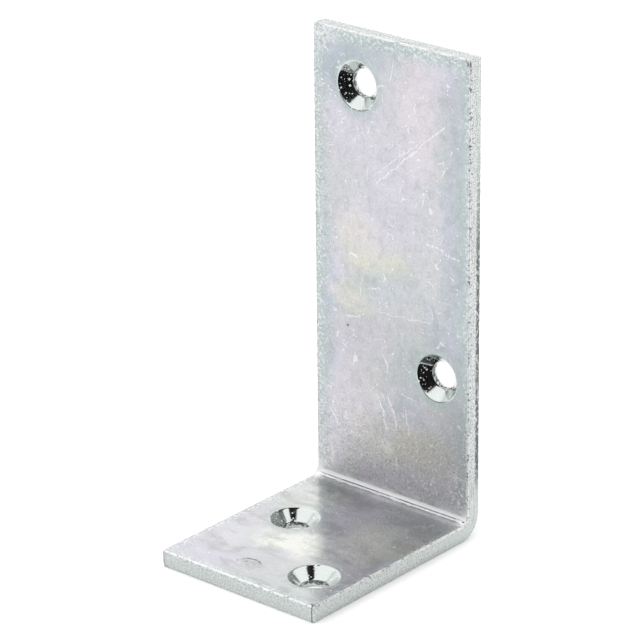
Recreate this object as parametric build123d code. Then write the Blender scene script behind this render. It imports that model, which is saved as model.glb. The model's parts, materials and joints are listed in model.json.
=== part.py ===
from build123d import *
import os
from math import radians, tan

# A flat steel bar bent once into an L, with two countersunk screw holes in each leg.
# Origin: centre of the foot's underside. +Z runs up the long leg, X across the width,
# and the long leg's back is the +Y side.

# Driving dimensions, in millimetres and degrees
LONG_LEG = 100.0            # outside height of the upright leg
SHORT_LEG = 50.5            # outside depth of the foot
WIDTH = 39.5                # width of the bar
THICKNESS = 3.5             # thickness of the bar
INNER_BEND_RADIUS = 1.6     # radius inside the bend
CORNER_RADIUS = 0.6         # plan radius at the four free corners
EDGE_ROUND = 0.3            # rounding where a skin meets a cut edge

SCREW_HOLE_D = 5.6          # cylindrical wall that the screw's shank passes
COUNTERSINK_D = 10.0        # rim of the countersink on the inside face
COUNTERSINK_ANGLE = 90.0    # included angle of the countersink

LONG_END_MARGIN = 10.9      # top end to the upper hole's axis
LONG_HOLE_PITCH = 56.35     # distance between the long leg's holes, up the leg
LONG_HOLE_STAGGER = 20.0    # the same two holes, across the width
LONG_HOLE_SHIFT = 1.6       # middle of that pair, off the bar's centre line

SHORT_END_MARGIN = 10.1     # free end to the outer hole's axis
SHORT_HOLE_PITCH = 17.4     # distance between the short leg's holes, along the leg
SHORT_HOLE_STAGGER = 20.0   # the same two holes, across the width
SHORT_HOLE_SHIFT = 1.1      # middle of that pair, off the bar's centre line

CUT_OVERRUN = 1.0           # how far a cutting tool stands out of the bar
SHARP_ANGLE = 30.0          # faces that meet at more than this leave a sharp edge

# Planes and places that follow from them
OUTER_BEND_RADIUS = INNER_BEND_RADIUS + THICKNESS
BACK = SHORT_LEG / 2
FREE_END = -SHORT_LEG / 2
UPRIGHT_INSIDE = BACK - THICKNESS
FOOT_TOP = THICKNESS


def side_profile():
    """The L of the bent bar, seen along X, with both bend radii."""
    outer_corner = (BACK, 0)
    inner_corner = (UPRIGHT_INSIDE, FOOT_TOP)
    outline = Polyline(
        outer_corner,
        (BACK, LONG_LEG),
        (UPRIGHT_INSIDE, LONG_LEG),
        inner_corner,
        (FREE_END, FOOT_TOP),
        (FREE_END, 0),
        close=True,
    )
    profile = make_face(outline)
    outer_vertex = profile.vertices().sort_by_distance((*outer_corner, 0))[0]
    profile = fillet(outer_vertex, OUTER_BEND_RADIUS)
    inner_vertex = profile.vertices().sort_by_distance((*inner_corner, 0))[0]
    return fillet(inner_vertex, INNER_BEND_RADIUS)


def is_sharp(edge, bar):
    """True where the two faces at this edge meet at an angle, False where they run on smoothly."""
    middle = edge.position_at(0.5)
    normals = [face.normal_at(middle) for face in bar.faces() if edge in face.edges()]
    return normals[0].get_angle(normals[1]) > SHARP_ANGLE


def bent_bar():
    """The bar without its holes: free corners rounded, then every sharp edge rolled over."""
    bar = extrude(Plane.YZ * side_profile(), amount=WIDTH / 2, both=True)
    top_corners = bar.edges().filter_by(Axis.Y).group_by(Axis.Z)[-1]
    foot_corners = bar.edges().filter_by(Axis.Z).group_by(Axis.Y)[0]
    bar = fillet(top_corners + foot_corners, CORNER_RADIUS)
    return fillet([edge for edge in bar.edges() if is_sharp(edge, bar)], EDGE_ROUND)


def screw_hole():
    """The space of one countersunk hole. Z=0 is the face that the screw goes in from, at +Z."""
    slope = tan(radians(COUNTERSINK_ANGLE / 2))
    rim_radius = COUNTERSINK_D / 2
    bore_radius = SCREW_HOLE_D / 2
    far_end = -THICKNESS - CUT_OVERRUN
    outline = Polyline(
        (0, 0, CUT_OVERRUN),
        (rim_radius + CUT_OVERRUN * slope, 0, CUT_OVERRUN),
        (bore_radius, 0, (bore_radius - rim_radius) / slope),
        (bore_radius, 0, far_end),
        (0, 0, far_end),
        close=True,
    )
    return revolve(make_face(outline), Axis.Z)


def hole_places():
    """Where the four holes meet the inside faces, each with its axis out of the steel along +Z."""
    upright = Plane((0, UPRIGHT_INSIDE, 0), x_dir=(1, 0, 0), z_dir=(0, -1, 0))
    foot = Plane((0, 0, FOOT_TOP), x_dir=(1, 0, 0), z_dir=(0, 0, 1))
    upper = LONG_LEG - LONG_END_MARGIN
    outer = FREE_END + SHORT_END_MARGIN
    return [
        upright * Pos(LONG_HOLE_SHIFT - LONG_HOLE_STAGGER / 2, upper),
        upright * Pos(LONG_HOLE_SHIFT + LONG_HOLE_STAGGER / 2, upper - LONG_HOLE_PITCH),
        foot * Pos(SHORT_HOLE_SHIFT - SHORT_HOLE_STAGGER / 2, outer + SHORT_HOLE_PITCH),
        foot * Pos(SHORT_HOLE_SHIFT + SHORT_HOLE_STAGGER / 2, outer),
    ]


def corner_brace():
    """The whole brace: the bent bar less its four holes."""
    hole = screw_hole()
    return bent_bar() - [place * hole for place in hole_places()]


os.makedirs("parts", exist_ok=True)
export_step(corner_brace(), "parts/corner_brace.step")
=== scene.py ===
"""A zinc plated corner brace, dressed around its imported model.

The bar is modelled as it is made. A flat blank is meshed in millimetres as (x, s, w): across the bar,
along it from the foot's free end, and into its thickness from the inside face. Its edges, holes and marks
are made there, and then bend() folds it to the L."""

import json
import math

import bmesh
import bpy
import numpy as np
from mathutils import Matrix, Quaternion, Vector, noise


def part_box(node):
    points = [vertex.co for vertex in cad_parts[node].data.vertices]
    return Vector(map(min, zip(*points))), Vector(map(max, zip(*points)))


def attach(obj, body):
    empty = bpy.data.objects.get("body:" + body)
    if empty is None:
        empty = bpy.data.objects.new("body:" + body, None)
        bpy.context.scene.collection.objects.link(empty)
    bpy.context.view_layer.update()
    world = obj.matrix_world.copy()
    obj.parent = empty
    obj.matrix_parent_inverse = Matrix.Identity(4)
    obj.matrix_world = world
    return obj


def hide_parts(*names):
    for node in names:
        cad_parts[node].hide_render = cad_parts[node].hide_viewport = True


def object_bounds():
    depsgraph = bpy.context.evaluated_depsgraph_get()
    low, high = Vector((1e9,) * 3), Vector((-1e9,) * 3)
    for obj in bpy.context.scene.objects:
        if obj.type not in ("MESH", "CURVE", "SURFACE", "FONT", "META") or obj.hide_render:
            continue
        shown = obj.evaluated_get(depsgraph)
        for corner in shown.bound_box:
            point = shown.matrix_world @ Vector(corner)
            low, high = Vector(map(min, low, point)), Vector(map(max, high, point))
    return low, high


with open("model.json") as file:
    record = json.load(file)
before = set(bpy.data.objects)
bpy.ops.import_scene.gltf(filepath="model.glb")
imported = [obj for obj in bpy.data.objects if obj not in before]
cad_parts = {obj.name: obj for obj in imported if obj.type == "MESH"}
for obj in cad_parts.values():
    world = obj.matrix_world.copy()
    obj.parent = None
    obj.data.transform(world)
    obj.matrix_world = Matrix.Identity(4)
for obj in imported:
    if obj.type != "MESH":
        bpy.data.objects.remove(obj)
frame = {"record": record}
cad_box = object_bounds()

MM = 0.001

# ---------------------------------------------------------------- sizes, in millimetres
NODE = "corner_brace"
LOW, HIGH = (np.array(corner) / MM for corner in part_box(NODE))
WIDTH = HIGH[0] - LOW[0]
FOOT = HIGH[1] - LOW[1]
UPRIGHT = HIGH[2] - LOW[2]
THICKNESS = 3.5
INNER_BEND_RADIUS = 1.6
COUNTERSINK_RADIUS = 5.0
COUNTERSINK_SLOPE = 1.0           # radius lost for each millimetre of depth

FOOT_FLAT = FOOT - THICKNESS - INNER_BEND_RADIUS
BEND_LENGTH = math.pi / 2 * (INNER_BEND_RADIUS + THICKNESS / 2)
UPRIGHT_FLAT = UPRIGHT - THICKNESS - INNER_BEND_RADIUS
BLANK = FOOT_FLAT + BEND_LENGTH + UPRIGHT_FLAT
BEND_START, BEND_END = FOOT_FLAT, FOOT_FLAT + BEND_LENGTH
HALF = WIDTH / 2

EDGE_ROLL = 0.36                  # rounding of the inside face's sheared edge
BACK_ROLL = 0.28                  # and of the outside face's
LEFT_CORNER, RIGHT_CORNER = 0.6, 0.36     # radii of the free corners, seen on the face
CORNER_STEPS = 6
SIDE_INSET = 0.14                 # the sides lie this much inside the bulge at the bend
END_INSET = 0.02                  # and the two ends this much inside the blank's length
BULGE_REACH = 2.4                 # half width, along the bar, of the bulge at the bend
FRACTURE_DEPTH = 2.35             # where the sheared edge's burnished land ends and its fracture starts
FRACTURE_INSET = 0.06             # how far the fractured part falls back
TOOL_LINES = 0.52, 0.28           # where the press tool marked the bend, as shares of its turn
TOOL_LINE_DEPTH = 0.045
TOOL_LINE_WIDTH = 0.032           # half width of a line, as a share of the turn

# (length, height) of the noise in each kind of unevenness
LONG_WAVES, SHORT_WAVES = (24.0, 0.035), (6.0, 0.008)     # in the faces
COARSE_RAG, FINE_RAG = (0.55, 0.05), (0.3, 0.03)          # in the sheared edge
ROLL_WAVES = 0.7, 0.06                                    # in the depth of its rolled corner
FRACTURE_WAVES = 2.5, 0.25                                # in the depth where its fracture starts
CALM_WIDTH = 3.0                  # the faces' waves fade out over this distance from an edge or a rim

GRID = 0.5                        # mesh spacing on the faces
BEND_GRID = 0.13                  # and through the bend
BAND = 1.2                        # strip between the grid and the outline
HOLE_BLOCK = 6.2                  # half side of the square that each hole's rings fill


def upright_at(z):
    """Place along the blank of a height on the upright."""
    return BEND_END + z - THICKNESS - INNER_BEND_RADIUS


def record_holes():
    """(x, s, bore radius) of each screw hole on the flat blank, from the record's bores."""
    holes = []
    for mount in frame["record"]["mounts"]:
        if mount["kind"] != "bore":
            continue
        x, y, z = (value / MM for value in mount["pos_m"])
        in_foot = abs(mount["axis"][2]) > 0.5
        holes.append((x, y - LOW[1] if in_foot else upright_at(z), mount["dims"]["r_mm"]))
    return holes


HOLES = record_holes()


# ---------------------------------------------------------------- the flat blank
class Blank:
    """Vertices of the flat blank, what kind of surface each lies on, and the faces between them."""

    def __init__(self):
        self.points, self.cut, self.bore, self.faces = [], [], [], []

    def add(self, points, cut=0.0, bore=0.0):
        """Adds a row of vertices and returns their numbers."""
        first = len(self.points)
        self.points.extend(points)
        self.cut.extend([cut] * len(points))
        self.bore.extend([bore] * len(points))
        return list(range(first, len(self.points)))

    def join(self, ring_a, ring_b):
        """Faces between two closed rings; where neighbours share a vertex the face is a triangle."""
        count = len(ring_a)
        for k in range(count):
            corners = [ring_a[k], ring_a[(k + 1) % count], ring_b[(k + 1) % count], ring_b[k]]
            face = [v for n, v in enumerate(corners) if v != corners[n - 1]]
            self.faces.append(face)

    def bridge(self, start, rings, end):
        """Faces from the start ring through the others to the end one."""
        for ring in (*rings, end):
            self.join(start, ring)
            start = ring


def even_steps(low, high, spacing):
    """Evenly spaced places from low to high, an even number of steps apart."""
    return np.linspace(low, high, 2 * round((high - low) / spacing / 2) + 1)


def grid_lines():
    """The grid's places across and along the bar, closer through the bend."""
    foot = even_steps(BAND, BEND_START, GRID)
    turn = even_steps(BEND_START, BEND_END, BEND_GRID)
    top = even_steps(BEND_END, BLANK - BAND, GRID)
    return even_steps(BAND - HALF, HALF - BAND, GRID), np.concatenate([foot[:-1], turn, top[1:]])


def hole_blocks(xs, ss):
    """The even grid places round the square that each hole's rings fill."""
    def span(lines, middle):
        ends = middle - HOLE_BLOCK, middle + HOLE_BLOCK
        return tuple(2 * int(abs(lines[::2] - end).argmin()) for end in ends)

    return [(span(xs, x), span(ss, s)) for x, s, _ in HOLES]


def face_grid(blank, xs, ss, blocks, depth, step):
    """One face's grid, with every step-th line, open where the holes' squares are. Returns the vertex
    that serves each grid place."""
    inside = np.zeros((len(xs), len(ss)), bool)
    filled = np.ones((len(xs), len(ss)), bool)
    for (i0, i1), (j0, j1) in blocks:
        inside[i0 + 1:i1, j0 + 1:j1] = True
        filled[i0:i1, j0:j1] = False
    ids = np.full(inside.shape, -1)
    for i in range(0, len(xs), step):
        for j in range(0, len(ss), step):
            if not inside[i, j]:
                ids[i, j] = blank.add([(xs[i], ss[j], depth)])[0]
    for i in range(0, len(xs) - step, step):
        for j in range(0, len(ss) - step, step):
            if filled[i, j]:
                blank.faces.append([ids[i, j], ids[i + step, j], ids[i + step, j + step], ids[i, j + step]])
    return ids[np.ix_(np.arange(len(xs)) // step * step, np.arange(len(ss)) // step * step)]


def outline(xs, ss):
    """Round the blank's outline, two points to each grid place: (grid place, point, outward direction)."""
    last_i, last_j = len(xs) - 1, len(ss) - 1

    def corner(i, j, radius, start):
        centre = (math.copysign(HALF - radius, xs[i]), radius if j == 0 else BLANK - radius)
        for k in range(CORNER_STEPS + 1):
            angle = math.radians(start + 90 * k / CORNER_STEPS)
            out = (math.cos(angle), math.sin(angle))
            yield (i, j), (centre[0] + radius * out[0], centre[1] + radius * out[1]), out

    def halves(lines, k, ahead):
        return lines[k], (lines[k] + lines[k + ahead]) / 2

    yield from corner(0, 0, LEFT_CORNER, 180)
    for i in range(1, last_i):
        for x in halves(xs, i, 1):
            yield (i, 0), (x, 0.0), (0.0, -1.0)
    yield from corner(last_i, 0, RIGHT_CORNER, 270)
    for j in range(1, last_j):
        for s in halves(ss, j, 1):
            yield (last_i, j), (HALF, s), (1.0, 0.0)
    yield from corner(last_i, last_j, RIGHT_CORNER, 0)
    for i in range(last_i - 1, 0, -1):
        for x in halves(xs, i, -1):
            yield (i, last_j), (x, BLANK), (0.0, 1.0)
    yield from corner(0, last_j, LEFT_CORNER, 90)
    for j in range(last_j - 1, 0, -1):
        for s in halves(ss, j, -1):
            yield (0, j), (-HALF, s), (-1.0, 0.0)


def edge_profile():
    """(inset from the outline, depth) down the cut edge, from the inside face to the outside one."""
    def roll(radius):
        turn = [math.radians(a) for a in (0, 18, 36, 54, 72, 90)]
        return [(radius * (1 - math.sin(a)), radius * (1 - math.cos(a))) for a in turn]

    front = roll(EDGE_ROLL)
    back = [(inset, THICKNESS - depth) for inset, depth in reversed(roll(BACK_ROLL))]
    side = [(0.0, w) for w in np.linspace(EDGE_ROLL, THICKNESS - BACK_ROLL, 9)[1:-1]]
    return [(EDGE_ROLL + 0.06, 0.0)] + front + side + back + [(BACK_ROLL + 0.06, THICKNESS)]


def add_cut_edge(blank, front, back, xs, ss):
    """The sheared edge all round, joined to the two faces' grids."""
    places = list(outline(xs, ss))
    profile = edge_profile()
    rings = []
    for row, (inset, depth) in enumerate(profile):
        on_face = row in (0, len(profile) - 1)
        points = [(p[0] - inset * n[0], p[1] - inset * n[1], depth) for _, p, n in places]
        rings.append(blank.add(points, cut=0.0 if on_face else 1.0))
    blank.bridge([front[place] for place, _, _ in places], rings, [back[place] for place, _, _ in places])


def hole_profile(bore_radius):
    """(radius, depth) from the countersink's rim down to the outside face."""
    rim = COUNTERSINK_RADIUS
    seat = (rim - bore_radius) / COUNTERSINK_SLOPE
    cone = [(rim - d * COUNTERSINK_SLOPE, d) for d in np.linspace(0.17, seat - 0.05, 11)]
    land = [(bore_radius, d) for d in np.linspace(seat + 0.05, THICKNESS - 0.1, 5)]
    mouth = [(rim + 0.22, 0.0), (rim + 0.16, 0.0), (rim + 0.08, 0.012), (rim, 0.045), (rim - 0.08, 0.10)]
    exit_lip = [(bore_radius + 0.03, THICKNESS - 0.04)]
    exit_lip += [(bore_radius + out, THICKNESS) for out in (0.09, 0.15)]
    return mouth + cone + land + exit_lip


def add_hole(blank, front, back, block, hole):
    """One countersunk hole: rings from its square in to the rim, down the cone and out of the back."""
    (i0, i1), (j0, j1) = block
    square = [(i, j0) for i in range(i0, i1)] + [(i1, j) for j in range(j0, j1)]
    square += [(i, j1) for i in range(i1, i0, -1)] + [(i0, j) for j in range(j1, j0, -1)]
    x, s, bore_radius = hole
    corner = np.array([blank.points[front[place]][:2] for place in square])
    away = corner - (x, s)
    distance = np.linalg.norm(away, axis=1)
    direction = away / distance[:, None]
    profile = hole_profile(bore_radius)

    def circle(radius, depth, bore):
        flat = direction * np.broadcast_to(radius, distance.shape)[:, None] + (x, s)
        return blank.add([(a, b, depth) for a, b in flat], bore=bore)

    def spread(radius, share):
        return radius + (distance - radius) * share

    rings = [circle(spread(profile[0][0], share), 0.0, 0.0) for share in (0.8, 0.6, 0.4, 0.2)]
    for row, (radius, depth) in enumerate(profile):
        on_face = row in (0, 1, len(profile) - 1)
        rings.append(circle(radius, depth, 0.0 if on_face else 1.0))
    rings += [circle(spread(profile[-1][0], share), THICKNESS, 0.0) for share in (0.25, 0.5, 0.75)]
    blank.bridge([front[place] for place in square], rings, [back[place] for place in square])


def flat_blank():
    """The whole blank: both faces, the cut edge all round and the holes."""
    xs, ss = grid_lines()
    blocks = hole_blocks(xs, ss)
    blank = Blank()
    front = face_grid(blank, xs, ss, blocks, 0.0, 1)
    back = face_grid(blank, xs, ss, blocks, THICKNESS, 2)
    add_cut_edge(blank, front, back, xs, ss)
    for block, hole in zip(blocks, HOLES):
        add_hole(blank, front, back, block, hole)
    return blank


# ---------------------------------------------------------------- marks that are real shape
def rough(points, size, seed):
    """Smooth noise between about -1 and 1 at each point, with features of that size in millimetres."""
    shift = Vector((seed * 17.3, seed * 5.1, seed * 9.7))
    return np.array([noise.noise(Vector(p) / size + shift) for p in points])


def uneven(points, waves, seed):
    """That noise for waves of a (length, height) in millimetres."""
    length, height = waves
    return height * rough(points, length, seed)


def to_outline(points):
    """Distance of each point on the blank from the nearest cut edge."""
    x, s, _ = points.T
    return np.minimum(HALF - abs(x), np.minimum(s, BLANK - s))


def to_hole(points):
    """Distance of each point on the blank from the nearest hole's axis."""
    return np.min([np.hypot(points[:, 0] - x, points[:, 1] - s) for x, s, _ in HOLES], axis=0)


def bump_at(values, middle, half_width):
    """A smooth hump of height 1 and that half width."""
    return np.exp(-((values - middle) / half_width) ** 2)


def face_waves(points):
    """The rolled faces' slight waves, calm along the edges and round the holes."""
    clear = np.minimum(to_outline(points) - 0.4, to_hole(points) - COUNTERSINK_RADIUS - 0.2)
    waves = uneven(points, LONG_WAVES, 1) + uneven(points, SHORT_WAVES, 2)
    return waves * np.clip(clear / CALM_WIDTH, 0, 1)


def shear_inset(points, w):
    """How far the sheared edge falls inside its outline: ragged, and further where it fractured."""
    fracture = np.clip((w - FRACTURE_DEPTH - uneven(points, FRACTURE_WAVES, 6)) / 0.6, 0, 1)
    ragged = abs(uneven(points * (1, 1, 0.4), COARSE_RAG, 3)) + abs(uneven(points, FINE_RAG, 4))
    return ragged * (0.5 + fracture) + FRACTURE_INSET * fracture


def tool_lines(points, s):
    """Depth of the press tool's two fine lines along the inside of the bend, deeper here and there."""
    turn = (s - BEND_START) / BEND_LENGTH + 0.02 * rough(points * (1, 0, 0), 9.0, 7)
    depth = TOOL_LINE_DEPTH * np.clip(1 + rough(points * (1, 0, 0), 4.0, 8), 0.3, 2)
    first, second = (bump_at(turn, line, TOOL_LINE_WIDTH) for line in TOOL_LINES)
    return depth * (first + 0.8 * second)


def worn(points, cut, bore):
    """The blank's points moved by waves in its faces, ragged sheared edges, the bulge at the bend and the
    press tool's lines."""
    x, s, w = points.T.copy()
    face = (cut < 0.5) & (bore < 0.5)
    inside = face & (w < 0.1)
    outside = face & (w > THICKNESS - 0.1)
    waves = face_waves(points)
    w[inside] += waves[inside]
    w[outside] -= 0.5 * abs(waves[outside])

    # the sheared edge falls inside its outline, except where the bend squeezes it out
    bulge = bump_at(s, (BEND_START + BEND_END) / 2, BULGE_REACH) * np.clip(1.25 - w / THICKNESS, 0, 1)
    inset = shear_inset(points, w)
    sides = abs(x) > HALF - 0.5
    x[sides] -= (np.sign(x) * (SIDE_INSET * (1 - bulge) + inset))[sides]
    ends = (s < 0.5) | (s > BLANK - 0.5)
    s[ends] += (np.where(s < 1, 1, -1) * (END_INSET + inset))[ends]
    rolled = (cut > 0.5) & (w < EDGE_ROLL)
    w[rolled] += (uneven(points, ROLL_WAVES, 5) * (w / EDGE_ROLL + 0.3))[rolled]

    w[inside] += tool_lines(points, s)[inside]
    return np.stack([x, s, w], 1)


def bend(points):
    """Folds the flat blank to the L, in the model's frame, in metres."""
    x, s, w = points.T
    centre_y = LOW[1] + FOOT_FLAT
    centre_z = LOW[2] + THICKNESS + INNER_BEND_RADIUS
    radius = INNER_BEND_RADIUS + w
    angle = np.clip((s - BEND_START) / BEND_LENGTH, 0, 1) * math.pi / 2
    before = np.minimum(s - BEND_START, 0)
    after = np.maximum(s - BEND_END, 0)
    y = centre_y + before + radius * np.sin(angle)
    z = centre_z + after - radius * np.cos(angle)
    return np.stack([x, y, z], 1) * MM


def add_attribute(mesh, name, kind, field, values):
    """Stores one value for each vertex, for the material to read."""
    layer = mesh.attributes.new(name, kind, "POINT")
    layer.data.foreach_set(field, np.array(values, np.float32).ravel())


def turn_outwards(mesh):
    """Gives every face an outward normal."""
    work = bmesh.new()
    work.from_mesh(mesh)
    bmesh.ops.recalc_face_normals(work, faces=work.faces)
    work.to_mesh(mesh)
    work.free()


def build_brace():
    """The brace's mesh, folded, with what the material reads at each vertex."""
    blank = flat_blank()
    flat = np.array(blank.points)
    cut, bore = np.array(blank.cut), np.array(blank.bore)
    mesh = bpy.data.meshes.new("brace")
    mesh.from_pydata(bend(worn(flat, cut, bore)), [], blank.faces)
    mesh.validate()
    add_attribute(mesh, "flat_mm", "FLOAT_VECTOR", "vector", flat)
    levels = {"cut": cut, "bore": bore, "to_outline": to_outline(flat), "to_hole": to_hole(flat)}
    for name, values in levels.items():
        add_attribute(mesh, name, "FLOAT", "value", values)
    turn_outwards(mesh)
    mesh.shade_smooth()
    brace = bpy.data.objects.new("zinc_brace", mesh)
    bpy.context.scene.collection.objects.link(brace)
    return brace


brace = build_brace()


# ---------------------------------------------------------------- shader nodes
class Tree:
    """Short ways to add and link nodes. An input may be a constant or another node's output."""

    def __init__(self, tree):
        self.tree = tree

    def node(self, kind, inputs=(), **settings):
        made = self.tree.nodes.new("ShaderNode" + kind)
        for name, setting in settings.items():
            setattr(made, name, setting)
        for name, given in dict(inputs).items():
            self.put(made.inputs[name], given)
        return made

    def put(self, socket, given):
        if isinstance(given, bpy.types.NodeSocket):
            self.tree.links.new(given, socket)
        else:
            socket.default_value = given

    def math(self, operation, a, b=0.0, c=0.0):
        return self.node("Math", {0: a, 1: b, 2: c}, operation=operation).outputs[0]

    def times(self, first, *others):
        """The product of all of them."""
        for other in others:
            first = self.math("MULTIPLY", first, other)
        return first

    def most(self, first, *others):
        """The largest of them."""
        for other in others:
            first = self.math("MAXIMUM", first, other)
        return first

    def plus(self, start, given, share=1.0):
        """start, plus that share of the given value."""
        return self.math("MULTIPLY_ADD", given, share, start)

    def apart(self, a, b):
        """How far two numbers are apart."""
        return self.math("ABSOLUTE", self.math("SUBTRACT", a, b))

    def vector(self, operation, a, b=(0.0, 0.0, 0.0)):
        made = self.node("VectorMath", {0: a, 1: b}, operation=operation)
        gives_number = operation in ("DOT_PRODUCT", "LENGTH", "DISTANCE")
        return made.outputs["Value" if gives_number else "Vector"]

    def ramp(self, given, low, high):
        """0 at low, 1 at high, smooth between."""
        made = self.node("MapRange", {"Value": given, "From Min": low, "From Max": high},
                         interpolation_type="SMOOTHSTEP")
        return made.outputs["Result"]

    def noise(self, place, size, detail=2.0, roughness=0.5, distortion=0.0):
        """Noise of about 0 to 1, with features of that size in millimetres."""
        made = self.node("TexNoise", {"Vector": place, "Scale": 1 / size, "Detail": detail,
                                      "Roughness": roughness, "Distortion": distortion})
        return made.outputs["Fac"]

    def mix(self, share, a, b):
        """Colour a, with that share of colour b."""
        made = self.node("Mix", data_type="RGBA")
        sockets = [s for s in made.inputs if s.type == "RGBA"]
        self.put(made.inputs["Factor"], share)
        self.put(sockets[0], a)
        self.put(sockets[1], b)
        return next(s for s in made.outputs if s.type == "RGBA")

    def blend(self, share, a, b):
        """Number a, with that share of number b."""
        return self.math("MULTIPLY_ADD", share, self.math("SUBTRACT", b, a), a)

    def attribute(self, name, output="Fac"):
        return self.node("Attribute", attribute_name=name).outputs[output]


def shader_tree(name):
    """A new material, its nodes and its shader."""
    material = bpy.data.materials.new(name)
    material.use_nodes = True
    return material, Tree(material.node_tree), material.node_tree.nodes["Principled BSDF"]


# ---------------------------------------------------------------- zinc plate
GREY = (0.635, 0.650, 0.665, 1)
LAVENDER = (0.69, 0.672, 0.745, 1)
BLUE_GREY = (0.49, 0.55, 0.61, 1)
BLUE_GREEN = (0.50, 0.59, 0.585, 1)
CREAM = (0.73, 0.73, 0.61, 1)
OLIVE = (0.68, 0.655, 0.54, 1)
PINK = (0.765, 0.72, 0.765, 1)
PALE = (0.93, 0.94, 0.87, 1)
HAZE = (0.90, 0.87, 0.92, 1)
WARM = (0.95, 0.90, 0.83, 1)
DULL = (0.43, 0.44, 0.43, 1)
DARK = (0.30, 0.31, 0.32, 1)
SPECK = (0.97, 0.98, 0.98, 1)
PIT = (0.10, 0.10, 0.11, 1)
SHEARED = (0.665, 0.72, 0.70, 1)
CHAFED = (0.90, 0.93, 0.92, 1)
MACHINED = (0.68, 0.73, 0.705, 1)

FOOT_SCUFF = -2.2, 6.9            # (across, along) of the dark scuff on the foot
CRACK = HALF - 0.5                # place, across the free end, of a crack beside its right corner
DOT = HALF - 0.9, BEND_START + 0.45 * BEND_LENGTH    # (across, along) of the dark dot in the fold
SHEARED_ROUGHNESS = 0.42
MACHINED_ROUGHNESS = 0.12

# Heights of the relief, in micrometres
GRAIN_HEIGHT = 7.0
PEEL_HEIGHT = 9.0
MARK_HEIGHT = 6.0
TORN_HEIGHT = 80.0
DUST_HEIGHT = 8.0


# Stains in the passivate, and painted shade darkening the foot by its fold, laid on in this order, the
# upright's before the foot's:
# (across, along, radius across, radius along, colour, strength)
STAINS_AND_FOOT_SHADE = [
    (0.0, upright_at(72), 12.0, 26.0, LAVENDER, 0.65),
    (-13.0, upright_at(93), 12.0, 9.0, BLUE_GREY, 0.95),
    (16.5, upright_at(60), 4.5, 50.0, BLUE_GREY, 0.55),
    (-18.5, upright_at(35), 3.5, 26.0, BLUE_GREY, 0.7),
    (-9.3, upright_at(56.5), 5.5, 8.5, CREAM, 0.7),
    (-1.6, upright_at(53.5), 8.0, 4.0, CREAM, 0.65),
    (-10.0, upright_at(44.5), 6.0, 4.5, CREAM, 0.5),
    (-1.0, upright_at(48.5), 10.0, 5.0, BLUE_GREEN, 0.35),
    (7.0, upright_at(89), 6.0, 11.0, PINK, 0.8),
    (7.0, upright_at(77), 5.0, 7.0, PINK, 0.5),
    (-9.0, upright_at(60), 5.0, 6.0, PINK, 0.45),
    (-8.0, upright_at(26), 6.0, 9.0, PINK, 0.6),
    (-7.0, upright_at(36), 7.0, 5.0, LAVENDER, 0.5),
    (8.0, upright_at(33), 10.0, 8.0, BLUE_GREEN, 0.6),
    (0.0, upright_at(34), 22.0, 11.0, DULL, 0.3),
    (-2.0, upright_at(14), 12.0, 4.0, CREAM, 0.35),
    (7.0, upright_at(15.5), 10.0, 6.0, OLIVE, 0.6),
    (-8.0, upright_at(19.0), 7.0, 2.5, OLIVE, 0.35),
    (-1.5, upright_at(14.5), 2.6, 2.2, PALE, 0.75),
    (6.0, upright_at(8), 18.0, 5.0, LAVENDER, 0.55),
    (-12.0, 17.0, 6.0, 9.0, PALE, 0.2),
    (-1.5, 18.5, 9.0, 5.5, PALE, 0.95),
    (-13.0, 36.0, 8.0, 8.0, PALE, 0.5),
    (-2.0, 6.5, 4.0, 2.0, DULL, 0.35),
    (-14.0, 27.0, 2.0, 5.0, DULL, 0.4),
    (-7.0, 22.0, 1.6, 8.0, DULL, 0.3),
    # painted shade: these two darken the foot by its fold
    (8.0, 42.5, 19.0, 5.5, DARK, 0.45),
    (-11.0, 44.0, 8.0, 5.0, DARK, 0.8),
    (11.0, 12.0, 9.0, 10.0, PALE, 0.5),
    (15.0, 14.0, 5.0, 9.0, LAVENDER, 0.5),
    (10.0, 27.0, 10.0, 8.0, PALE, 0.5),
]

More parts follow.
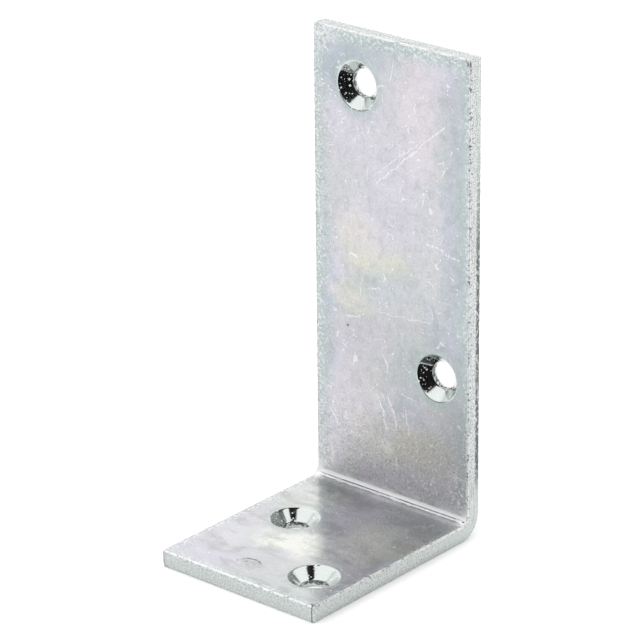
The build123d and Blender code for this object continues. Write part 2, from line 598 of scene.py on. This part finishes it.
# Long scratches on the inside face: (start, end, half width, strength, how beaded), with each point as
# (across, along)
SCRATCHES = [
    ((-3.5, upright_at(70)), (13.5, upright_at(85.5)), 0.11, 0.9, 0.2),
    ((-3.0, upright_at(72.5)), (8.0, upright_at(81.5)), 0.09, 0.8, 0.3),
    ((-9.0, upright_at(68)), (-2.5, upright_at(73)), 0.08, 0.5, 0.5),
    ((6.0, upright_at(77.5)), (8.0, upright_at(75)), 0.07, 0.6, 0.3),
    ((-8.5, upright_at(99)), (-3.5, upright_at(92)), 0.07, 0.4, 0.5),
    ((-12.0, upright_at(63)), (-5.0, upright_at(68)), 0.06, 0.4, 0.6),
    ((9.0, upright_at(60.6)), (16.8, upright_at(59.0)), 0.22, 0.95, 1.0),
    ((-2.9, upright_at(43)), (9.3, upright_at(43.9)), 0.12, 0.6, 0.4),
    ((-18.7, upright_at(66.5)), (-18.3, upright_at(61)), 0.16, 0.9, 0.5),
    ((-18.5, upright_at(58.5)), (-18.2, upright_at(56.5)), 0.15, 0.8, 0.2),
    ((3.0, upright_at(34)), (6.0, upright_at(30)), 0.08, 0.45, 0.5),
    ((-3.8, upright_at(26)), (-1.0, upright_at(18.0)), 0.17, 1.0, 0.2),
    ((-0.5, upright_at(25)), (1.6, upright_at(19)), 0.15, 0.9, 0.2),
    ((3.5, upright_at(23.5)), (4.6, upright_at(18.5)), 0.14, 0.8, 0.3),
    ((2.5, upright_at(27)), (6.5, upright_at(26.5)), 0.14, 0.8, 0.8),
    ((-16.3, upright_at(19.5)), (-14.0, upright_at(16)), 0.15, 1.0, 0.2),
    ((14.0, upright_at(12.5)), (18.5, upright_at(12.8)), 0.07, 0.6, 0.3),
    ((16.2, upright_at(11)), (16.8, upright_at(15)), 0.09, 0.6, 0.3),
    ((-10.0, upright_at(84)), (-6.0, upright_at(79)), 0.06, 0.4, 0.6),
    ((6.5, 11.0), (9.5, 7.5), 0.07, 0.4, 0.5),
    ((-2.5, 25.0), (-12.5, 26.5), 0.10, 0.25, 0.4),
]


class Plate:
    """What the material's parts share: where a point lies on the flat blank, on what kind of surface, and
    the noises that more than one part uses."""

    def __init__(self, t):
        self.place = t.attribute("flat_mm", "Vector")
        self.cut = t.attribute("cut")
        self.bore = t.attribute("bore")
        self.edge = t.attribute("to_outline")
        self.hole = t.attribute("to_hole")
        self.across, self.along, self.depth = t.node("SeparateXYZ", {0: self.place}).outputs
        self.inside = t.math("LESS_THAN", self.depth, THICKNESS / 2)
        self.turn = t.math("DIVIDE", t.math("SUBTRACT", self.along, BEND_START), BEND_LENGTH)

        # each of these grows to 1 where its name says
        self.upright = t.ramp(self.along, BEND_START, BEND_END)
        self.low = t.times(self.upright, t.ramp(self.along, upright_at(30), upright_at(8)))
        self.near_left = t.ramp(self.across, 7 - HALF, -HALF)
        self.low_right = t.times(t.ramp(self.across, 12.5, 17.0),
                                 t.ramp(self.along, upright_at(18), upright_at(10)), self.upright)
        self.rolled = t.ramp(self.depth, EDGE_ROLL + 0.05, EDGE_ROLL * 0.6)

        self.mottle = t.noise(t.vector("MULTIPLY", self.place, (1, 0.8, 1)), 1.5, 5, 0.7)
        self.streaks = t.noise(t.vector("MULTIPLY", self.place, (1, 1, 0.3)), 0.45, 4, 0.7)
        self.speckle = t.noise(self.place, 0.34, 3, 0.75)
        self.beads = t.noise(self.place, 0.6, 3, 0.75)

    def patches(self, t, size, roughness, low, high):
        """1 in ragged patches of about that size in millimetres, 0 between them. The lower low and high
        are, the more the patches fill."""
        return t.ramp(t.noise(self.place, size, 4, roughness), low, high)


def strayed(t, place, noise_inputs, reach):
    """The place, moved about over the face by noise, by up to half the reach."""
    drift = t.node("TexNoise", {"Vector": place, **noise_inputs}).outputs["Color"]
    drift = t.vector("SUBTRACT", drift, (0.5, 0.5, 0.5))
    return t.vector("ADD", place, t.vector("MULTIPLY", drift, (reach, reach, 0.0)))


def stained_and_shaded(t, plate, colour):
    """The plating's colour with its stains and the painted shade by the foot's fold laid on, their outlines
    wandering.
    """
    loose = strayed(t, plate.place, {"Scale": 1 / 6, "Detail": 4.0, "Roughness": 0.6}, 11.0)
    for across, along, wide, long, stain, strength in STAINS_AND_FOOT_SHADE:
        apart = t.vector("SUBTRACT", loose, (across, along, 0.0))
        scaled = t.vector("LENGTH", t.vector("DIVIDE", apart, (wide, long, 1e3)))
        colour = t.mix(t.times(t.ramp(scaled, 1.2, 0.35), strength), colour, stain)
    return colour


def scratched(t, plate):
    """1 along the long scratches, wavering and broken up where the edge that made them skipped."""
    skip = t.ramp(t.noise(plate.place, 0.7, 3), 0.36, 0.52)
    beads = t.ramp(t.noise(plate.place, 0.35, 1), 0.48, 0.58)
    flat = strayed(t, plate.place, {"Scale": 0.45, "Detail": 3.0}, 1.9)
    flat = t.vector("MULTIPLY", flat, (1, 1, 0))
    total = 0.0
    for start, end, half_width, strength, beaded in SCRATCHES:
        run = Vector((end[0] - start[0], end[1] - start[1], 0))
        away = t.vector("SUBTRACT", flat, (*start, 0.0))
        share = t.math("DIVIDE", t.vector("DOT_PRODUCT", away, tuple(run)), run.length_squared)
        held = t.math("MINIMUM", t.most(share, 0.0), 1.0)
        nearest = t.node("VectorMath", {0: tuple(run), "Scale": held}, operation="SCALE").outputs["Vector"]
        line = t.ramp(t.vector("DISTANCE", away, nearest), half_width * 1.7, half_width * 0.5)
        total = t.most(total, t.times(line, t.blend(beaded, skip, beads), strength))
    return t.times(total, plate.inside)


def fine_scratches(t, plate, size, seed):
    """Short curved scratches here and there: thin level lines of one noise, where another one is high."""
    moved = t.vector("ADD", plate.place, (seed, 2 * seed, 0.5 * seed))
    field = t.noise(t.vector("MULTIPLY", moved, (1, 0.7, 1)), size, 1, 0.4, 0.5)
    shown = t.ramp(t.noise(moved, size * 0.6, 2, 0.6), 0.55, 0.62)
    return t.times(t.ramp(t.apart(field, 0.5), 0.014, 0.004), shown)


def specks(t, plate, spacing, radius, share, seed):
    """1 inside round specks of varied size: one in that share of the cells of that spacing."""
    moved = t.vector("ADD", plate.place, (seed, seed * 2.3, seed * 0.7))
    cells = t.node("TexVoronoi", {"Vector": moved, "Scale": 1 / spacing}, feature="F1")
    chance = t.node("SeparateXYZ", {0: cells.outputs["Color"]})
    chosen = t.math("LESS_THAN", chance.outputs["X"], share)
    size = t.plus(radius / spacing * 0.6, chance.outputs["Y"], radius / spacing * 0.8)
    return t.times(chosen, t.ramp(t.math("DIVIDE", cells.outputs["Distance"], size), 1.15, 0.75))


def dirt_specks(t, plate):
    """Bright specks, crowded low on the upright, along its left side and at its lower right corner."""
    patchy = t.ramp(t.noise(plate.place, 8, 2), 0.35, 0.65)
    share = t.plus(t.plus(0.05, patchy, 0.16), plate.low, 0.35)
    share = t.plus(t.plus(share, plate.near_left, 0.3), plate.low_right, 0.45)
    share = t.times(share, t.plus(0.35, plate.upright, 0.65))
    fine = specks(t, plate, 0.85, 0.16, share, 3.0)
    large = specks(t, plate, 2.3, 0.22, t.times(share, 0.8), 11.0)
    return t.most(t.times(fine, 0.8), large)


def chafing(t, plate):
    """Bright chafed metal in from the edges, widest at the top and the left, and at the lower right."""
    reach = t.plus(2.2, t.ramp(plate.along, BLANK - 6, BLANK - 2), 2.5)
    reach = t.plus(reach, plate.near_left, 1.5)
    rim = t.ramp(t.math("DIVIDE", plate.edge, reach), 1.0, 0.1)
    rim = t.times(rim, plate.patches(t, 0.7, 0.7, 0.50, 0.58))
    corner = t.ramp(t.vector("DISTANCE", plate.place, (-HALF, BLANK, 0.0)), 9.0, 2.0)
    corner = t.times(corner, plate.patches(t, 0.9, 0.7, 0.46, 0.56))
    flecks = t.times(plate.low_right, plate.patches(t, 0.8, 0.7, 0.53, 0.60), plate.inside)
    return t.most(rim, corner, flecks)


def painted_fold_highlight(t, plate):
    """Painted highlight along the fold: a bright band in it, a paler band above it and bright patches at
    the fold's two ends.
    """
    smeared = t.noise(t.vector("MULTIPLY", plate.place, (0.2, 1, 1)), 0.8, 4, 0.7)
    band = t.times(t.ramp(plate.turn, 0.98, 0.84), t.ramp(plate.turn, 0.55, 0.59))
    band = t.times(band, t.ramp(smeared, 0.22, 0.45))
    haze = t.times(t.ramp(plate.turn, 1.5, 0.90), t.ramp(plate.turn, 0.86, 0.92))
    haze = t.times(haze, t.ramp(smeared, 0.35, 0.65))
    ends = t.times(t.ramp(plate.edge, 3.2, 0.6), t.ramp(t.apart(plate.turn, 0.6), 0.9, 0.3))
    ends = t.times(ends, t.ramp(smeared, 0.20, 0.4))
    return t.times(t.most(t.times(band, 1.4), haze, t.times(ends, 1.4)), plate.inside)


def marks_on(t, plate):
    """Everything that shows as a bright mark on the faces, with the painted highlight along the fold."""
    lines = t.most(fine_scratches(t, plate, 5.5, 5.0), fine_scratches(t, plate, 3.4, 31.0))
    lines = t.times(lines, t.plus(0.15, plate.upright, 0.45))
    # chafing, and the painted highlight along the fold
    scuffs_and_fold_highlight = t.times(t.most(chafing(t, plate), painted_fold_highlight(t, plate)), 0.7)
    return t.most(dirt_specks(t, plate), lines, scratched(t, plate), scuffs_and_fold_highlight)


def foot_scuff(t, plate):
    """The dark scuff near the foot's free end: a smear, and a thin broken arc round the back of it."""
    away = t.vector("SUBTRACT", plate.place, (*FOOT_SCUFF, 0.0))
    radius = t.vector("LENGTH", t.vector("MULTIPLY", away, (0.75, 1.2, 0.0)))
    radius = t.plus(radius, t.noise(plate.place, 1.2, 3, 0.6), 0.8)
    behind = t.ramp(t.node("SeparateXYZ", {0: away}).outputs["Y"], -0.6, 0.6)
    broken = t.ramp(t.noise(plate.place, 1.3, 3), 0.38, 0.50)
    arc = t.times(t.ramp(t.apart(radius, 2.1), 0.24, 0.10), behind, broken)
    smear = t.times(t.ramp(radius, 3.2, 1.4), plate.patches(t, 0.8, 0.7, 0.50, 0.60), 0.5)
    return t.times(t.most(arc, smear), plate.inside)


def tool_line_shade_and_dot(t, plate):
    """The press tool's two lines, darkened as painted shade in their grooves and worn away in places, and
    the dark dot beside their right end.
    """
    off_line = t.math("MINIMUM", *(t.apart(plate.turn, line) for line in TOOL_LINES))
    lines = t.times(t.ramp(t.plus(off_line, plate.mottle, 0.07), 0.080, 0.050), plate.inside)
    kept = t.ramp(t.noise(t.vector("MULTIPLY", plate.place, (1, 2, 0)), 3.5, 3, 0.6), 0.38, 0.52)
    lines = t.times(lines, t.plus(0.25, kept, 0.7), t.ramp(plate.edge, 0.8, 3.0))
    dot = t.ramp(t.vector("DISTANCE", plate.place, (*DOT, 0.0)), 0.42, 0.25)
    return t.times(t.most(lines, dot), t.ramp(plate.mottle, 0.30, 0.42))


def plating(t, plate):
    """The passivate's own colours: drawn tints, the stains with painted shade by the foot's fold, and
    blue-green along edges and round holes.
    """
    drawn = t.vector("MULTIPLY", plate.place, (1, 0.6, 9))
    colour = t.mix(t.ramp(t.noise(drawn, 15, 4, 0.5, 0.6), 0.42, 0.60), GREY, LAVENDER)
    bluer = t.noise(t.vector("ADD", drawn, (40, 9, 3)), 9, 4, 0.6, 0.8)
    colour = t.mix(t.times(t.ramp(bluer, 0.54, 0.68), 0.7), colour, BLUE_GREY)
    colour = t.mix(plate.inside, colour, stained_and_shaded(t, plate, colour))
    rim = t.ramp(t.plus(plate.edge, plate.mottle, 3.0), 6.0, 2.3)
    around = t.ramp(t.plus(plate.hole, bluer, 4.0), 9.4, 6.8)
    return t.mix(t.times(t.most(rim, around), t.plus(0.25, plate.upright, 0.6)), colour, BLUE_GREEN)


def clouded(t, plate, colour):
    """That colour darkened a little over the whole foot as painted shade, with the foot's dull and pale
    clouds, and haze low on the upright.
    """
    clouds = t.noise(t.vector("MULTIPLY", plate.place, (0.4, 0.9, 1)), 4.5, 4, 0.52, 0.8)
    foot = t.math("SUBTRACT", 1.0, plate.upright)
    # painted shade over the whole foot
    colour = t.mix(t.times(foot, 0.1), colour, DULL)
    colour = t.mix(t.times(t.ramp(clouds, 0.50, 0.34), foot, 0.55), colour, DULL)
    colour = t.mix(t.times(t.ramp(clouds, 0.56, 0.72), foot, 0.3), colour, CHAFED)
    return t.mix(t.times(plate.low, 0.3), colour, HAZE)


def grainy(t, plate, colour):
    """That colour with fine light and dark grain, strongest low on the upright and at its left."""
    grain = t.noise(plate.place, 0.5, 3, 0.65)
    strength = t.plus(t.plus(0.1, plate.upright, 0.2), t.most(plate.low, plate.near_left), 0.4)
    colour = t.mix(t.times(t.ramp(grain, 0.50, 0.30), strength), colour, DULL)
    colour = t.mix(t.times(t.ramp(plate.mottle, 0.50, 0.30), strength, 0.6), colour, DULL)
    return t.mix(t.times(t.ramp(grain, 0.53, 0.68), strength), colour, CHAFED)


def face_colour(t, plate, marks, warm):
    """The faces: the plating and then, in turn, what lies on it, wore it and pitted it, with the painted
    highlight along the fold and the painted shade in the tool lines.
    """
    colour = clouded(t, plate, plating(t, plate))
    colour = grainy(t, plate, t.mix(warm, colour, WARM))
    colour = t.mix(t.times(foot_scuff(t, plate), 0.85), colour, PIT)
    # bright marks: specks, scratches, chafing and the painted highlight along the fold
    colour = t.mix(marks, colour, SPECK)
    # painted shade in the tool lines' grooves, and the dark dot
    colour = t.mix(tool_line_shade_and_dot(t, plate), colour, PIT)
    return t.mix(specks(t, plate, 5.5, 0.2, 0.28, 23.0), colour, PIT)


def fractured(t, plate):
    """The dark patches where the back of the upright's sheared edge fractured, away from both its ends."""
    start = t.plus(plate.depth, plate.streaks, 1.6)
    below_top = t.ramp(plate.along, BLANK - 10, BLANK - 45)
    above_bend = t.ramp(plate.along, upright_at(8), upright_at(15))
    torn = t.times(t.ramp(start, FRACTURE_DEPTH + 0.5, FRACTURE_DEPTH + 0.8), plate.upright)
    return t.times(torn, below_top, above_bend, plate.patches(t, 0.8, 0.8, 0.40, 0.50))


def dark_beads(t, plate):
    """Dark pits along the sheared edge's rolled corner and just behind it."""
    behind = t.ramp(t.apart(plate.depth, EDGE_ROLL + 0.2), 0.3, 0.15)
    beads = t.times(t.most(plate.rolled, behind), t.ramp(plate.beads, 0.43, 0.38))
    return t.times(beads, t.plus(0.4, plate.upright, 0.6), t.ramp(plate.along, BLANK - 0.1, BLANK - 1.2))


def cracked(t, plate):
    """The crack down the foot's free end."""
    off_crack = t.plus(t.math("SUBTRACT", plate.across, CRACK), t.math("SUBTRACT", plate.beads, 0.5), 0.5)
    return t.times(t.ramp(t.apart(off_crack, 0.0), 0.20, 0.10), t.math("LESS_THAN", plate.along, 0.5))


def sheared_colour(t, plate, bright_beads):
    """The cut edge: pale and speckled, chafed bright on its rolled corner, dark in the fracture."""
    drawn = t.noise(t.vector("MULTIPLY", plate.place, (0.25, 0.25, 3)), 0.9, 3, 0.7)
    streaky = t.times(plate.upright, 0.6)
    colour = t.mix(t.times(t.ramp(plate.streaks, 0.5, 0.3), 0.5), SHEARED, DULL)
    colour = t.mix(t.times(t.ramp(drawn, 0.46, 0.34), streaky), colour, DARK)
    colour = t.mix(t.times(t.ramp(drawn, 0.54, 0.66), streaky), colour, CHAFED)
    from_bend = t.ramp(t.apart(plate.turn, 0.5), 0.8, 3.0)
    speckled = t.plus(0.3, t.times(from_bend, t.plus(0.35, plate.upright, 0.15)))
    colour = t.mix(t.times(t.ramp(plate.speckle, 0.50, 0.60), speckled), colour, SPECK)
    colour = t.mix(t.times(t.ramp(plate.speckle, 0.47, 0.37), speckled), colour, DARK)
    colour = t.mix(t.times(fractured(t, plate), 0.9), colour, PIT)
    colour = t.mix(bright_beads, colour, SPECK)
    colour = t.mix(dark_beads(t, plate), colour, PIT)
    return t.mix(cracked(t, plate), colour, PIT)


def bore_colour(t, plate, dust):
    """The machined cones with their dust, and past the seat of each two broken dark rings, painted shade
    down the bore.
    """
    seat = (COUNTERSINK_RADIUS - HOLES[0][2]) / COUNTERSINK_SLOPE
    wander = t.times(t.noise(plate.place, 0.9, 3, 0.7), 0.9)
    # painted shade: two broken dark rings down the bore
    bore_shade_arc = t.ramp(t.apart(t.plus(plate.depth, wander), seat + 0.75), 0.26, 0.14)
    second_bore_shade_arc = t.ramp(t.apart(t.plus(plate.depth, wander, 1.6), seat + 1.35), 0.24, 0.10)
    gaps = t.ramp(t.noise(plate.place, 0.7, 3, 0.7), 0.60, 0.50)
    bore_shade_arc = t.times(t.most(bore_shade_arc, t.times(second_bore_shade_arc, 0.9)), gaps)
    return t.mix(bore_shade_arc, t.mix(dust, MACHINED, SPECK), PIT)


def matt_share(t, plate, marks, warm, bright_beads, dust):
    """How far each place scatters light, as dirt and torn metal do and as the painted highlight along the
    fold does, and doesn't mirror it.
    """
    matt = t.most(t.times(marks, 0.6), t.times(warm, 0.8))
    matt = t.blend(plate.cut, matt, t.times(bright_beads, 0.55))
    matt = t.blend(plate.bore, matt, t.times(dust, 0.8))
    return t.most(matt, t.times(plate.low, t.math("SUBTRACT", 0.09, plate.bore)))


def roughness(t, plate, marks):
    """Smudged faces: rougher past the bend, more so low on the upright, on marks and in the mottle."""
    smudge = t.ramp(t.noise(plate.place, 7, 3, 0.6), 0.35, 0.7)
    face = t.plus(t.plus(0.17, smudge, 0.08), t.ramp(plate.turn, 0.2, 1.0), 0.13)
    face = t.plus(face, plate.low, 0.16)
    face = t.plus(face, t.most(marks, t.ramp(plate.mottle, 0.6, 0.4)), 0.1)
    return t.blend(plate.bore, t.blend(plate.cut, face, SHEARED_ROUGHNESS), MACHINED_ROUGHNESS)


def relief(t, plate, marks, dust):
    """The surface's normal, from its height in micrometres."""
    grain = t.times(t.noise(plate.place, 0.5, 3, 0.6), GRAIN_HEIGHT)
    peel = t.times(t.noise(plate.place, 2.4, 2, 0.5), PEEL_HEIGHT)
    skin = t.plus(t.plus(grain, peel), marks, MARK_HEIGHT)
    torn = t.times(t.plus(plate.streaks, plate.speckle, 1.2), TORN_HEIGHT)
    height = t.blend(plate.bore, t.blend(plate.cut, skin, torn), t.times(dust, DUST_HEIGHT))
    return t.node("Bump", {"Height": height, "Distance": 1e-6, "Strength": 1.0}).outputs[0]


def zinc_plate():
    """The brace's one material, for its faces, cut edges and bores."""
    material, t, shader = shader_tree("zinc_plate")
    plate = Plate(t)
    marks = marks_on(t, plate)
    warm = t.times(plate.low, plate.patches(t, 0.85, 0.85, 0.57, 0.61))
    bright_beads = t.times(plate.rolled, t.ramp(plate.beads, 0.36, 0.50))
    dust = t.most(specks(t, plate, 0.5, 0.13, 0.5, 7.0), specks(t, plate, 1.1, 0.22, 0.35, 13.0))

    colour = t.mix(plate.cut, face_colour(t, plate, marks, warm), sheared_colour(t, plate, bright_beads))
    colour = t.mix(plate.bore, colour, bore_colour(t, plate, dust))
    matt = matt_share(t, plate, marks, warm, bright_beads, dust)
    t.put(shader.inputs["Base Color"], colour)
    t.put(shader.inputs["Metallic"], t.math("SUBTRACT", 1.0, matt))
    t.put(shader.inputs["Roughness"], roughness(t, plate, marks))
    t.put(shader.inputs["Normal"], relief(t, plate, marks, dust))
    return material


brace.data.materials.append(zinc_plate())
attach(brace, "root")
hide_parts(NODE)


# ---------------------------------------------------------------- stage, light, camera
CENTRE = (Vector(cad_box[0]) + Vector(cad_box[1])) / 2
UNDERSIDE = cad_box[0][2]
CAMERA_AZIMUTH, CAMERA_ELEVATION, CAMERA_ROLL = (math.radians(a) for a in (40.75, 22.23, -0.62))
CAMERA_DISTANCE = 0.67174
CAMERA_RIGHT, CAMERA_DOWN = 0.00018, 0.00082          # how far the camera is moved off the centre's line
CAMERA_LENS = 196.5
FLOOR_GAP = 0.00005               # the floor lies this far below the foot
FLOOR_LIFT = 0.16                 # light added to the floor, for the camera only
TENT_FRONT, TENT_REAR, TENT_TOP = 0.28, 1.08, 1.2     # brightness of the light tent's parts
KEY_POWER, KEY_SPREAD = 0.8, math.radians(50)
KEY_TURN = math.radians(38), math.radians(-22), 0
CLOTH_HEIGHT = 0.006              # the black cloth's height over the foot's underside
CLOTH_GAP = 0.0006                # and its distance from the foot's side
CLOTH_BACK = 0.84                 # how far back it reaches, as a share of the way to the upright's back
# the hung flag's rows: (left, right, towards the camera, height)
FLAG_ROWS = [
    (0.010, 0.055, 0.055, 0.030),
    (-0.0135, 0.050, 0.055, 0.120),
    (-0.050, 0.062, 0.055, 0.200),
    (-0.050, 0.062, -0.035, 0.240),
]
TOWARDS_CAMERA = Vector((math.sin(CAMERA_AZIMUTH), -math.cos(CAMERA_AZIMUTH), 0))
BESIDE_CAMERA = Vector((math.cos(CAMERA_AZIMUTH), math.sin(CAMERA_AZIMUTH), 0))


def add_floor():
    """Pale floor. For the camera it is lifted to white, and it keeps the brace's shadow."""
    bpy.ops.mesh.primitive_plane_add(size=8, location=(0, 0, UNDERSIDE - FLOOR_GAP))
    floor = bpy.context.object
    floor.name = "floor"
    material, t, shader = shader_tree("floor")
    shader.inputs["Base Color"].default_value = (0.9, 0.9, 0.9, 1)
    shader.inputs["Roughness"].default_value = 0.9
    shader.inputs["Specular IOR Level"].default_value = 0
    shader.inputs["Emission Color"].default_value = (1, 1, 1, 1)
    seen = t.node("LightPath").outputs["Is Camera Ray"]
    t.put(shader.inputs["Emission Strength"], t.times(seen, FLOOR_LIFT))
    floor.data.materials.append(material)


def add_world():
    """A light tent: bright behind and above, greyer at the front and sides. The camera sees plain white."""
    world = bpy.data.worlds.new("studio")
    bpy.context.scene.world = world
    world.use_nodes = True
    t = Tree(world.node_tree)
    direction = t.node("TexCoord").outputs["Generated"]
    rear = t.ramp(t.vector("DOT_PRODUCT", direction, (-0.35, 0.94, 0.0)), -0.35, 0.35)
    above = t.ramp(t.node("SeparateXYZ", {0: direction}).outputs["Z"], 0.45, 0.62)
    level = t.blend(above, t.blend(rear, TENT_FRONT, TENT_REAR), TENT_TOP)
    tent = world.node_tree.nodes["Background"]
    t.put(tent.inputs["Color"], level)
    white = t.node("Background", {"Color": (1, 1, 1, 1)}).outputs[0]
    seen = t.node("LightPath").outputs["Is Camera Ray"]
    mix = t.node("MixShader", {0: seen, 1: tent.outputs[0], 2: white})
    t.put(world.node_tree.nodes["World Output"].inputs["Surface"], mix.outputs[0])


def add_sun():
    """A broad soft key from the upper left, for the shadow's direction."""
    light = bpy.data.lights.new("key", "SUN")
    light.energy = KEY_POWER
    light.angle = KEY_SPREAD
    lamp = bpy.data.objects.new("key", light)
    lamp.visible_glossy = False
    lamp.rotation_euler = KEY_TURN
    bpy.context.scene.collection.objects.link(lamp)


def stage_place(aside, ahead, z):
    """A place given by its distance beside and towards the camera from the brace's axis, and its height."""
    return tuple(BESIDE_CAMERA * aside + TOWARDS_CAMERA * ahead + Vector((0, 0, LOW[2] * MM + z)))


def add_black(name, corners, faces):
    """A black cloth that only reflections see."""
    mesh = bpy.data.meshes.new(name)
    mesh.from_pydata(corners, [], faces)
    cloth = bpy.data.objects.new(name, mesh)
    bpy.context.scene.collection.objects.link(cloth)
    cloth.visible_camera = cloth.visible_diffuse = cloth.visible_shadow = cloth.visible_transmission = False
    material, _, shader = shader_tree(name)
    shader.inputs["Base Color"].default_value = (0.01, 0.01, 0.01, 1)
    shader.inputs["Roughness"].default_value = 1
    shader.inputs["Specular IOR Level"].default_value = 0
    mesh.materials.append(material)


def add_flags():
    """The black that the countersinks mirror: a cloth just off the floor, from beside the foot out under
    the camera, and a narrow flag hung before the upright that bends over it at the top."""
    beside, low = HIGH[0] * MM + CLOTH_GAP, LOW[2] * MM + CLOTH_HEIGHT
    near = [(beside, CLOTH_BACK * HIGH[1] * MM, low), (beside, LOW[1] * MM, low)]
    far = [stage_place(*place, CLOTH_HEIGHT) for place in ((-1.0, 3.0), (1.2, 3.0), (0.09, 0.09))]
    add_black("black_cloth", near + far, [range(5)])
    hung = [stage_place(side, ahead, z) for left, right, ahead, z in FLAG_ROWS for side in (left, right)]
    add_black("black_flag", hung, [(k, k + 1, k + 3, k + 2) for k in (0, 2, 4)])


def add_camera():
    """The camera at the photograph's angle, with a long lens."""
    back = TOWARDS_CAMERA * math.cos(CAMERA_ELEVATION) + Vector((0, 0, math.sin(CAMERA_ELEVATION)))
    data = bpy.data.cameras.new("camera")
    data.lens = CAMERA_LENS
    data.sensor_width = 36
    data.clip_start, data.clip_end = 0.01, 50
    camera = bpy.data.objects.new("camera", data)
    bpy.context.scene.collection.objects.link(camera)
    camera.rotation_mode = "QUATERNION"
    level = (-back).to_track_quat("-Z", "Y")
    camera.rotation_quaternion = level @ Quaternion((0, 0, 1), CAMERA_ROLL)
    right = camera.rotation_quaternion @ Vector((1, 0, 0))
    up = camera.rotation_quaternion @ Vector((0, 1, 0))
    camera.location = CENTRE + back * CAMERA_DISTANCE + right * CAMERA_RIGHT - up * CAMERA_DOWN
    bpy.context.scene.camera = camera


add_floor()
add_world()
add_sun()
add_flags()
add_camera()
bpy.context.scene.view_settings.view_transform = "Standard"
